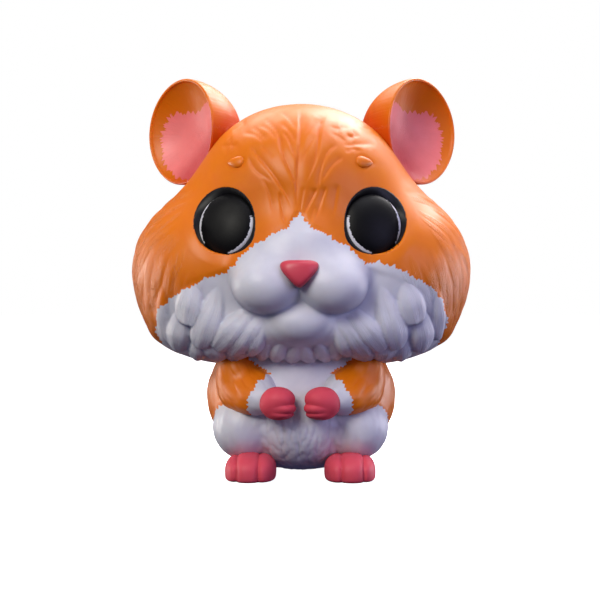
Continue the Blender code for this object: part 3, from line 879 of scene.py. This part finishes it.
def ruff(rng):
    """The lobes of the ruff, each laid on the skin from where it grows to its tip."""
    locks = []
    for across, up, tip_across, tip_up, half_width in RUFF_LOBES:
        root, tip = on_skull(across * MM, up * MM), on_skull(tip_across * MM, tip_up * MM)
        length = np.linalg.norm(tip - root)
        way = (tip - root) / length
        normal = slopes(skull_field, np.stack((root, tip))).sum(axis=0)
        normal = lying(normal[None, :], way[None, :])[0]
        coat = COATS[RUFF_LOBE]._replace(length=length, half_width=half_width * MM)
        height = coat.height * min(1.0, half_width / FULL_LOBE)
        locks.append(Lock(root, way, np.cross(normal, way), normal, coat, height,
                          rng.normal(0.0, LOBE_BEND), rng.uniform(0.0, 40.0)))
    return locks


def as_seen(points):
    """Across and up, in mm, as the camera sees points on the plane of the creases."""
    shrink = (VIEW_DISTANCE - CREASE_PLANE) / (VIEW_DISTANCE + points[:, 1])
    up = VIEW_HEIGHT + (points[:, 2] - VIEW_HEIGHT) * shrink
    return np.stack((points[:, 0] * shrink, up), axis=1) / MM


def scored(points):
    """How deep the creases round the brows and between the forehead's leaves cut, in metres."""
    flat = as_seen(points)
    depth = BROW_CREASE * np.exp(-np.abs(brow_field(fold(points))) / (BROW_CREASE_WIDTH * MM))
    steps = np.linspace(0.0, 1.0, CREASE_STEPS + 1)
    for *places, deep in FOREHEAD_CREASES:
        line = np.stack([np.polyval(np.polyfit(np.arange(4) / 3.0, values, 3), steps)
                         for values in np.array(places).T], axis=1)
        reach = np.ptp(line, axis=0) / 2.0 + CREASE_MARGIN
        near = (np.abs(flat - (line.max(axis=0) + line.min(axis=0)) / 2.0) < reach).all(axis=1)
        near = np.flatnonzero(near & (points[:, 1] < CREASE_BACK))
        stretch = np.diff(line, axis=0)
        offset = flat[near, None] - line[:-1]
        share = np.clip((offset * stretch).sum(axis=2) / (stretch ** 2).sum(axis=1), 0.0, 1.0)
        gap = offset - share[..., None] * stretch
        size = np.linalg.norm(gap, axis=2)
        row, best = np.arange(len(near)), size.argmin(axis=1)
        along = (best + share[row, best]) / CREASE_STEPS
        outer = gap[row, best, 0] * line.mean(axis=0)[0] > 0.0
        cut = deep * ramp(along, 0.0, CREASE_ENDS[0]) * ramp(1.0 - along, 0.0, CREASE_ENDS[1])
        cut = cut * np.exp(-size[row, best] / np.where(outer, CREASE_STEEP, CREASE_EASY))
        depth[near] = np.hypot(depth[near], cut)
    return depth * MM


def grow_coat(bm, field, points, flow, pick, coat, rng, first=None):
    """Carves locks over both halves of a form, and returns its new points and their place on them."""
    normals = slopes(field, points)
    height, grain = np.zeros(len(points)), np.zeros((len(points), 3))
    for _, side in SIDES:
        mine = np.flatnonzero(points[:, 0] * side >= 0.0)
        flip = np.array((side, 1.0, 1.0))
        if len(mine):
            half, up = points[mine] * flip, normals[mine] * flip
            locks = plant(rng, half, up, flow, pick, first(rng) if first else [])
            height[mine], grain[mine] = carve(half, locks)
    kinds, amounts = pick(points)
    ends = edge_ends(bm)
    under = np.array([kind.height * kind.sink for kind in COATS])[kinds] * amounts
    height = smoothed(ends, height) - smoothed(ends, under, SINK_PASSES)
    return points + normals * (height * coat.relief)[:, None], grain


class FIGURINE_OT_head(bpy.types.Operator):
    """Draw the head with its muzzle, chin and eye wells, and carve its coat"""

    bl_idname = "figurine.head"
    bl_label = "Head"
    bl_options = {"UNDO"}

    def execute(self, context):
        coat = context.scene.figurine_coat
        rng = np.random.default_rng(coat.seed)
        bm, points = drawn_form(head_field, HEAD_MIDDLE, coat.head_rows, HEAD_CROWDING)
        carved, grain = grow_coat(bm, head_field, points, head_flow, head_coat, coat, rng, ruff)
        smooth = head_smoothness(points)
        carved = points + (carved - points) * ramp(smooth, 0.0, 0.5)[:, None]
        cuts = scored(points) * ramp(outside_socket(points), 0.0008, 0.0030)
        cuts = cuts * ramp(blob_field(fold(points), MUZZLE), 0.0002, 0.0022)
        carved = sink_sockets(carved - slopes(head_field, points) * cuts[:, None])
        grain[:, 2] *= smooth
        place_corners(bm, carved)
        back = np.where(points[:, 2] > WHITE_STEP, WHITE_BACK, 0.0)
        values = coat_values(bm, carved, *front_zone(points, FACE_WHITE, back, MASK_LIFT))
        piece = add_piece("head_skin", bm, values, {"grain": grain})
        finish_piece(piece, "head", coat_paint(context), "head", "muzzle_left", "muzzle_right", "chin")
        return {"FINISHED"}


# Satin vinyl under the head's orange spray: two smooth raised drops over the eyes
def brow_paint(context):
    return plain_paint("Satin Vinyl, Brow Orange", *sprayed(context, "orange"), 0.43, shine=0.36)


class FIGURINE_OT_brows(bpy.types.Operator):
    """Draw the two drops that stand out of the forehead over the eyes"""

    bl_idname = "figurine.brows"
    bl_label = "Brows"
    bl_options = {"UNDO"}

    def execute(self, context):
        material = brow_paint(context)
        for name, side in SIDES:
            bm, points = drawn_form(brow_field, BROW_MIDDLE, context.scene.figurine_coat.limb_rows // 2)
            mirrored(bm, side)
            piece = add_piece("brow_drop_" + name, bm, {"cavity": np.zeros(len(points))})
            finish_piece(piece, "head", material, "brow_" + name)
        return {"FINISHED"}


# Satin pink enamel: a tight highlight on the nose's upper edge
def nose_paint(context):
    return plain_paint("Satin Enamel, Nose Pink", *sprayed(context, "nose_pink"), 0.40, shine=0.35)


class FIGURINE_OT_nose(bpy.types.Operator):
    """Draw the rounded triangle of the nose"""

    bl_idname = "figurine.nose"
    bl_label = "Nose"
    bl_options = {"UNDO"}

    def execute(self, context):
        bm, points = drawn_form(nose_field, NOSE_CENTRE, context.scene.figurine_coat.limb_rows // 2)
        piece = add_piece("nose_tip", bm, {"cavity": np.zeros(len(points))})
        finish_piece(piece, "nose", nose_paint(context), "nose")
        return {"FINISHED"}


# ---- Eyes ----

EYE_STEPS = 96
EYE_RINGS = 28
BEZEL_START = 0.97  # where a bezel leaves its ball, as a share of the ball's radii
BEZEL_OVERLAP = 0.0002  # how far it reaches past the socket over the skin
BEZEL_JAG = 0.00005  # how uneven its hand-painted edge is
BALL_TUCK = 0.0004  # how far a ball runs on under its bezel
# The circles that cut out an eye's black as seen from the front, in mm from the ball's middle,
# towards the nose and up, with their radii; white shows past each of them
INNER_CIRCLE = (-1.1, 0.24, 7.14)
OUTER_CIRCLE = (3.4, -0.6, 9.20)
# The straight lines past which no white shows, in mm, and how bluntly the crescents end on them
INNER_TOP, INNER_TOP_TAPER = 1.6, 0.35
INNER_SIDE, INNER_SIDE_TAPER = 0.8, 0.6
OUTER_FOOT = -4.8
# A bezel's section from its ball to its outer edge: the share of the way, and how far it stands out
RIM_SECTION = ((0.0, -0.0016), (0.0, 0.0), (0.15, 0.00018), (0.32, 0.00030), (0.50, 0.00036),
               (0.68, 0.00034), (0.84, 0.00024), (0.95, 0.00010), (1.0, -0.00008), (1.0, -0.0016))


def spun(section, steps, closed):
    """A section of (radius, height) points spun once round local Y; height points out along -Y."""
    bm = bmesh.new()
    bm.loops.layers.uv.new("OFBake")
    corners = [bm.verts.new((radius, -height, 0.0)) for radius, height in section]
    edges = [bm.edges.new(pair) for pair in zip(corners, corners[1:])]
    if closed:
        edges.append(bm.edges.new((corners[-1], corners[0])))
    bmesh.ops.spin(bm, geom=corners + edges, axis=(0.0, 1.0, 0.0), cent=(0.0, 0.0, 0.0), steps=steps,
                   angle=math.tau, use_merge=True)
    bmesh.ops.remove_doubles(bm, verts=bm.verts, dist=1e-7)
    return bm


def in_frame(local, matrix):
    return local @ np.array(matrix)[:3, :3].T + np.array(matrix)[:3, 3]


# Black satin enamel: a soft grey highlight along the top of the bezel
def rim_paint(context):
    return plain_paint("Satin Enamel, Bezel Black", *sprayed(context, "bezel"), 0.45, glow=0.0)


# Satin black over white enamel: the white shows as a hand-masked crescent at each side
def eye_paint(context):
    return masked_paint("Satin Enamel, Black Over White", *sprayed(context, "black", "eye_white"),
                        tooth=0.16, pitch=0.7, rough=0.50, strand=0.0, glow=0.0, soft=0.04, shine=0.16)


class FIGURINE_OT_eyes(bpy.types.Operator):
    """Spin the painted eye domes and the black bezels that sit around them"""

    bl_idname = "figurine.eyes"
    bl_label = "Eyes"
    bl_options = {"UNDO"}

    def execute(self, context):
        black, painted = rim_paint(context), eye_paint(context)
        for name, side in SIDES:
            self.rim(name, side, black)
            self.ball(name, side, painted)
        return {"FINISHED"}

    def rim(self, name, side, material):
        bm = spun([(1.0 + across, rise) for across, rise in RIM_SECTION], EYE_STEPS, closed=True)
        flat = corner_array(bm)
        across = np.hypot(flat[:, 0], flat[:, 2])[:, None] - 1.0
        angle = np.arctan2(flat[:, 2], flat[:, 0])
        ring = np.stack((np.cos(angle), np.zeros(len(flat)), np.sin(angle)), axis=1)
        ball = ring * np.array((BALL_RADII[0], 0.0, BALL_RADII[1])) * BEZEL_START
        ball += np.array((BALL_SHIFT[0], BALL_SET_BACK, BALL_SHIFT[1]))
        inner = in_frame(ball, eye_frame(1.0))
        jagged = BEZEL_JAG * np.sin(angle * 43.0) * np.sin(angle * 17.0 + 1.0)
        reach = socket_reach(angle) + BEZEL_OVERLAP + jagged
        edge = np.array((EYE_X, 0.0, EYE_Z)) + ring * reach[:, None]
        outer = first_touch(skull_field, edge, np.array([[0.0, -1.0, 0.0]]))
        outward = np.array(eye_frame(1.0).to_3x3() @ Vector((0.0, -1.0, 0.0)))
        points = inner * (1.0 - across) + outer * across - flat[:, 1:2] * outward
        place_corners(bm, points)
        mirrored(bm, side)
        piece = add_piece("eye_bezel_" + name, bm, {"cavity": np.zeros(len(points))})
        finish_piece(piece, "eye_rim", material, "eye_rim_" + name)

    def ball(self, name, side, material):
        tilts = [0.5 * math.pi * ring / EYE_RINGS for ring in range(EYE_RINGS + 1)]
        section = [(math.sin(tilt), math.cos(tilt)) for tilt in tilts]
        section += [(0.9, -0.35), (0.0, -0.45)]
        bm = spun(section, EYE_STEPS, closed=False)
        flat = corner_array(bm)
        wide, tall = BALL_RADII[0] + BALL_TUCK, BALL_RADII[1] + BALL_TUCK
        local = flat * np.array((wide, BALL_DOME, tall))
        local += np.array((BALL_SHIFT[0], BALL_SET_BACK, BALL_SHIFT[1]))
        points = in_frame(local * np.array((side, 1.0, 1.0)), eye_frame(side))
        place_corners(bm, points)
        paint, run = self.crescents(points)
        values = {"paint": paint, "run": run, "cavity": np.zeros(len(points))}
        finish_piece(add_piece("eye_ball_" + name, bm, values), "eye", material, "eye_" + name)

    def crescents(self, points):
        """Signed distance, in mm, from the black, and the way round it.

        White shows at its outer side and, more widely, at its lower inner side.
        """
        middle = in_frame(np.array([[BALL_SHIFT[0], 0.0, BALL_SHIFT[1]]]), eye_frame(1.0))[0]
        x = (middle[0] - np.abs(points[:, 0])) / MM
        z = (points[:, 2] - middle[2]) / MM
        inner, outer = (np.hypot(x - across, z - up) - radius
                        for across, up, radius in (INNER_CIRCLE, OUTER_CIRCLE))
        inner = np.minimum(inner, (INNER_TOP - z) * INNER_TOP_TAPER)
        inner = np.minimum(inner, (x - INNER_SIDE) * INNER_SIDE_TAPER)
        outer = np.minimum(outer, z - OUTER_FOOT)
        return np.maximum(inner, outer), np.arctan2(z, x) * 7.0 + 60.0


# ---- Ears ----

EAR_STEPS = 176
EAR_RINGS = 60
EAR_ROOT_SHADE = 2.6  # how much painted shade an ear gets where it goes into the head
EAR_ROOT_REACH = 0.0075
# The pink of the bowl as seen from the front, in mm from the ear's middle, outwards and up: an
# oval's middle and radii, the height of its top edge, and how far that climbs beside the crown
PINK_MIDDLE = (-1.9, -2.0)
PINK_RADII = (8.5, 10.3)
PINK_TOP = 5.6
PINK_CLIMB = 2.6
PINK_INSET = 0.0004  # how far inside the shell the pink has to be


def ear_section():
    """Half of the ear's cup from the back of its shell, over a rounded lip, to the bowl's bottom."""
    wide, deep, _ = EAR_RADII
    half = EAR_LIP / 2.0
    bowl = wide - EAR_LIP
    shares = [ring / EAR_RINGS for ring in range(EAR_RINGS + 1)]
    shell = [0.5 * math.pi * share for share in shares[:-1]]
    lip = [math.pi * step / 10 for step in range(11)]
    section = [(wide * math.sin(angle), -deep * math.cos(angle)) for angle in shell]
    section += [(wide - half + half * math.cos(angle), half * math.sin(angle)) for angle in lip]
    # The bowl falls away from the lip in a shallow curve that levels out at its bottom
    section += [(bowl * (1.0 - share), -EAR_BOWL_DEPTH * math.sin(0.5 * math.pi * share ** 0.85))
                for share in shares[1:]]
    return section


# Two sprays on the ear: orange shell and lip, and a pink bowl with a toothed top edge, with painted
# shade where the ear goes into the head
def ear_paint(context):
    return masked_paint("Satin Vinyl, Ear Pink And Orange", *sprayed(context, "ear_pink", "orange"),
                        tooth=0.8, pitch=1.1, rough=0.42, strand=0.14, glow=0.2)


class FIGURINE_OT_ears(bpy.types.Operator):
    """Spin the two ear cups and set them in the sides of the crown"""

    bl_idname = "figurine.ears"
    bl_label = "Ears"
    bl_options = {"UNDO"}

    def execute(self, context):
        material = ear_paint(context)
        for name, side in SIDES:
            bm = spun(ear_section(), EAR_STEPS, closed=False)
            flat = corner_array(bm)
            local = flat * np.array((side, 1.0, EAR_RADII[2] / EAR_RADII[0]))
            local[:, 1] -= flat[:, 0] ** 2 * EAR_CURL
            turn = Matrix.Rotation(EAR_YAW * side, 4, "Z")
            middle = (EAR_CENTRE[0] * side, EAR_CENTRE[1], EAR_CENTRE[2])
            points = in_frame(local, Matrix.Translation(middle) @ turn)
            place_corners(bm, points)
            paint, run = self.pink(flat, points)
            angle = np.arctan2(flat[:, 2], flat[:, 0])
            radius = np.hypot(flat[:, 0], flat[:, 2]) / MM
            grain = np.stack((angle * 9.0, radius, np.full(len(flat), 0.4)), axis=1)
            crease = self.shade(points)
            piece = add_piece("ear_cup_" + name, bm, {"paint": paint, "run": run, "cavity": crease},
                              {"grain": grain})
            finish_piece(piece, "ear", material, "ear_" + name)
        return {"FINISHED"}

    def pink(self, flat, points):
        """Signed distance, in mm, from the pink part of the bowl, and the way along its edge."""
        x = (np.abs(points[:, 0]) - EAR_CENTRE[0]) / MM
        z = (points[:, 2] - EAR_CENTRE[2]) / MM
        wide, tall = PINK_RADII
        oval = (np.hypot((x - PINK_MIDDLE[0]) / wide, (z - PINK_MIDDLE[1]) / tall) - 1.0) * wide
        top = z - PINK_TOP - PINK_CLIMB * ramp(-x, 4.0, 6.8)
        shell = (blob_field(flat, Blob((0.0, 0.0, 0.0), EAR_RADII)) + PINK_INSET) / MM * 12.0
        run = np.where(top > oval, x, np.arctan2(z, x) * 12.0)
        return np.maximum(np.maximum(oval, top), shell), run + 90.0

    def shade(self, points):
        """Painted shade where the ear goes into the head, strongest at the skull."""
        return EAR_ROOT_SHADE * (1.0 - ramp(skull_field(points), 0.0, EAR_ROOT_REACH))


# ---- Body, arms, paws and feet ----

def body_flow(points):
    """The coat lies downwards and a little outwards."""
    outward = np.stack((points[:, 0], points[:, 1], np.zeros(len(points))), axis=1)
    return np.array((0.0, 0.0, -1.0)) + unit(outward) * 0.12


def body_coat(points):
    """Small wavy tufts low on the belly, fine strips on the thighs and medium locks on the back."""
    half = fold(points)
    _, y, z = half.T
    front = y < -0.002
    thigh = (blob_field(half, THIGH) < 0.0006) & (y < 0.0)
    kinds = np.select([thigh, front], [LEG_STRIP, BELLY_TUFT], BACK_LEAF)
    amount = np.select([thigh, front], [1.0, ramp(-z, -0.024, -0.012)], 0.6 * ramp(z, 0.004, 0.012))
    return kinds, amount * ramp(z, 0.0008, 0.0020) * ramp(blob_field(points, TAIL), 0.0002, 0.0012)


BODY_CROWDING = 0.25  # how much finer the belly is drawn than the back


class FIGURINE_OT_body(bpy.types.Operator):
    """Draw the trunk with its thighs and tail, and carve its coat"""

    bl_idname = "figurine.body"
    bl_label = "Body"
    bl_options = {"UNDO"}

    def execute(self, context):
        coat = context.scene.figurine_coat
        rng = np.random.default_rng(coat.seed + 1)
        bm, points = drawn_form(body_field, BARREL.centre, coat.body_rows, BODY_CROWDING)
        carved, grain = grow_coat(bm, body_field, points, body_flow, body_coat, coat, rng)
        carved[:, 2] = np.maximum(carved[:, 2], 0.0)
        place_corners(bm, carved)
        chest, run = front_zone(points, CHEST_WHITE, -0.002)
        tail = blob_field(points, TAIL) / MM - 0.5
        run = np.where(tail < chest, points[:, 0] / MM * 1.5, run)
        values = coat_values(bm, carved, np.minimum(chest, tail), run)
        piece = add_piece("body_skin", bm, values, {"grain": grain})
        finish_piece(piece, "trunk", coat_paint(context), "trunk", "thigh_left", "thigh_right", "tail")
        return {"FINISHED"}


class FIGURINE_OT_arms(bpy.types.Operator):
    """Draw the arms, orange above and white at the cuff"""

    bl_idname = "figurine.arms"
    bl_label = "Arms"
    bl_options = {"UNDO"}

    def execute(self, context):
        coat = context.scene.figurine_coat
        material = coat_paint(context)
        for name, side in SIDES:
            rng = np.random.default_rng(coat.seed + 2)
            bm, points = drawn_form(arm_field, ELBOW, coat.limb_rows + 10)
            carved, grain = grow_coat(bm, arm_field, points, self.flow, self.pick, coat, rng)
            place_corners(bm, carved)
            values = coat_values(bm, carved, *front_zone(points, CUFF_WHITE, 0.0))
            mirrored(bm, side)
            piece = add_piece("arm_skin_" + name, bm, values, {"grain": grain})
            finish_piece(piece, "fur_orange", material, "arm_" + name)
        return {"FINISHED"}

    def flow(self, points):
        """Down the upper arm, then forwards and in towards the paw."""
        return unit(np.array(PALM.centre) - points) + np.array((0.0, 0.0, -0.6))

    def pick(self, points):
        return np.full(len(points), ARM_LEAF), np.ones(len(points))


# Satin pink vinyl, with painted shade darkening the grooves between the fingers
def paw_paint(context):
    return plain_paint("Satin Vinyl, Paw Pink", *sprayed(context, "pink"), 0.56, glow=0.2, shine=0.25)


class FIGURINE_OT_paws(bpy.types.Operator):
    """Draw the three-fingered paws that meet on the chest"""

    bl_idname = "figurine.paws"
    bl_label = "Paws"
    bl_options = {"UNDO"}

    def execute(self, context):
        material = paw_paint(context)
        for name, side in SIDES:
            bm, points = drawn_form(paw_field, PALM.centre, context.scene.figurine_coat.limb_rows)
            # How much painted shade each groove gets
            crease = crease_depth(bm, points)
            mirrored(bm, side)
            piece = add_piece("paw_skin_" + name, bm, {"cavity": crease})
            finish_piece(piece, "paw", material, "paw_" + name)
        return {"FINISHED"}


# Satin pink vinyl toes under a jagged white hem of belly paint, with painted shade in the toe grooves
def foot_paint(context):
    return masked_paint("Satin Vinyl, Foot Pink Under White", *sprayed(context, "pink", "white"),
                        rough=0.56, strand=0.0, glow=0.2)


HEM_HEIGHT = 8.0  # mm above the floor at which a foot turns white


class FIGURINE_OT_feet(bpy.types.Operator):
    """Draw the three-toed feet"""

    bl_idname = "figurine.feet"
    bl_label = "Feet"
    bl_options = {"UNDO"}

    def execute(self, context):
        material = foot_paint(context)
        for name, side in SIDES:
            bm, points = drawn_form(foot_field, FOOT.centre, context.scene.figurine_coat.limb_rows + 10)
            values = coat_values(bm, points, points[:, 2] / MM - HEM_HEIGHT, points[:, 0] / MM + 20.0)
            mirrored(bm, side)
            finish_piece(add_piece("foot_skin_" + name, bm, values), "foot", material, "foot_" + name)
        return {"FINISHED"}


# ---- Stage ----

AIM = Vector((0.0, 0.0, 0.050))  # what the lamps point at
SHIFT = -0.0016  # of the lens, as a share of the frame's width
# Name, place, size, colour and which setting gives the power
LAMPS = (
    ("Key", (-0.22, -0.37, 0.32), 0.28, (1.0, 0.97, 0.88), "key"),
    ("Fill", (0.40, -0.32, 0.16), 0.30, (0.62, 0.60, 1.0), "fill"),
    ("Top", (0.19, 0.25, 0.44), 0.36, (1.0, 0.97, 0.97), "top"),
    ("Over", (0.12, -0.15, 0.50), 0.28, (0.92, 0.92, 1.0), "over"),
    ("Back", (-0.12, 0.24, 0.46), 0.28, (1.0, 0.95, 0.90), "back"),
    ("Rim Left", (-0.42, 0.16, 0.04), 0.28, (1.0, 0.95, 0.88), "rim"),
    ("Rim Right", (0.42, 0.16, 0.04), 0.28, (0.95, 0.92, 1.0), "rim"),
    ("Bounce", (0.00, -0.34, 0.02), 0.24, (0.90, 0.86, 1.0), "bounce"),
)


class FIGURINE_OT_stage(bpy.types.Operator):
    """Lay the floor and set the lamps, the sky and the camera"""

    bl_idname = "figurine.stage"
    bl_label = "Stage"
    bl_options = {"UNDO"}

    def execute(self, context):
        stage = context.scene.figurine_stage
        self.floor(context.scene.figurine_paint.floor)
        self.sky(context.scene, stage)
        for name, place, size, tint, power in LAMPS:
            lamp = bpy.data.lights.new(name, "AREA")
            lamp.shape = "DISK"
            lamp.size = size
            lamp.color = tint
            lamp.energy = getattr(stage, power)
            holder = bpy.data.objects.new(name, lamp)
            holder.location = place
            holder.rotation_euler = (AIM - Vector(place)).to_track_quat("-Z", "Y").to_euler()
            holder.visible_camera = False
            holder.visible_glossy = name != "Bounce"
            context.scene.collection.objects.link(holder)
        self.camera(context.scene, stage)
        context.scene.view_settings.view_transform = "Standard"
        return {"FINISHED"}

    # Matt white card that gives off its own light, as even and white as a lit studio sweep
    def floor(self, tint):
        bm = bmesh.new()
        bmesh.ops.create_grid(bm, x_segments=2, y_segments=2, size=3.0)
        mesh = bpy.data.meshes.new("floor")
        bm.to_mesh(mesh)
        bm.free()
        floor = bpy.data.objects.new("floor", mesh)
        bpy.context.scene.collection.objects.link(floor)
        material = empty_material("Matt White Card")
        tree = material.node_tree
        place = add(tree, "TexCoord")["Object"]
        tooth = add(tree, "TexNoise", {"Vector": place, "Scale": 1.0 / (2.0 * MM), "Detail": 2.0})[0]
        rough = add(tree, "MapRange", {"Value": tooth, "From Min": 0.3, "From Max": 0.7,
                                       "To Min": 0.75, "To Max": 0.85})[0]
        surface = add(tree, "BsdfPrincipled", {
            "Base Color": tuple(tint), "Roughness": rough, "Emission Color": colour("#ffffff"),
            "Emission Strength": 1.0})[0]
        add(tree, "OutputMaterial", {"Surface": surface}, is_active_output=True)
        mesh.materials.append(material)
        floor.visible_diffuse = False
        floor.visible_glossy = False

    def sky(self, scene, stage):
        """White behind the figurine, and a faint cool light from all around it."""
        world = bpy.data.worlds.new("Studio")
        scene.world = world
        world.use_nodes = True
        tree = world.node_tree
        tree.nodes.clear()
        ambient = add(tree, "Background", {"Color": tuple(stage.sky) + (1.0,)})[0]
        backdrop = add(tree, "Background", {"Color": colour("#ffffff")})[0]
        straight = add(tree, "LightPath")["Is Camera Ray"]
        either = add(tree, "MixShader", {0: straight, 1: ambient, 2: backdrop})[0]
        add(tree, "OutputWorld", {"Surface": either}, is_active_output=True)

    def camera(self, scene, stage):
        lens = bpy.data.cameras.new("Camera")
        lens.lens = stage.lens
        lens.sensor_width = 36.0
        lens.clip_start = 0.01
        lens.shift_x = SHIFT
        camera = bpy.data.objects.new("Camera", lens)
        across, back = math.sin(stage.turn), -math.cos(stage.turn)
        camera.location = (stage.distance * across, stage.distance * back, stage.height)
        camera.rotation_euler = (math.radians(90.0), 0.0, stage.turn)
        scene.collection.objects.link(camera)
        scene.camera = camera


# ---- Add-on ----

BUILD_ORDER = ("head", "brows", "nose", "eyes", "ears", "body", "arms", "paws", "feet", "stage")


class FIGURINE_PT_sidebar(bpy.types.Panel):
    """Settings and one button per group of pieces"""

    bl_label = "Hamster Figurine"
    bl_idname = "FIGURINE_PT_sidebar"
    bl_space_type = "VIEW_3D"
    bl_region_type = "UI"
    bl_category = "Figurine"

    def draw(self, context):
        scene = context.scene
        for settings in (scene.figurine_coat, scene.figurine_paint, scene.figurine_stage):
            box = self.layout.box()
            for key in settings.__annotations__:
                box.prop(settings, key)
        for step in BUILD_ORDER:
            self.layout.operator("figurine." + step)


CLASSES = (
    FigurineCoat, FigurinePaint, FigurineStage,
    FIGURINE_OT_head, FIGURINE_OT_brows, FIGURINE_OT_nose, FIGURINE_OT_eyes, FIGURINE_OT_ears,
    FIGURINE_OT_body, FIGURINE_OT_arms, FIGURINE_OT_paws, FIGURINE_OT_feet, FIGURINE_OT_stage,
    FIGURINE_PT_sidebar,
)


def register():
    for kind in CLASSES:
        bpy.utils.register_class(kind)
    bpy.types.Scene.figurine_coat = PointerProperty(type=FigurineCoat)
    bpy.types.Scene.figurine_paint = PointerProperty(type=FigurinePaint)
    bpy.types.Scene.figurine_stage = PointerProperty(type=FigurineStage)


def unregister():
    del bpy.types.Scene.figurine_stage
    del bpy.types.Scene.figurine_paint
    del bpy.types.Scene.figurine_coat
    for kind in reversed(CLASSES):
        bpy.utils.unregister_class(kind)


def main():
    register()
    for step in BUILD_ORDER:
        getattr(bpy.ops.figurine, step)()


if __name__ == "__main__":
    main()
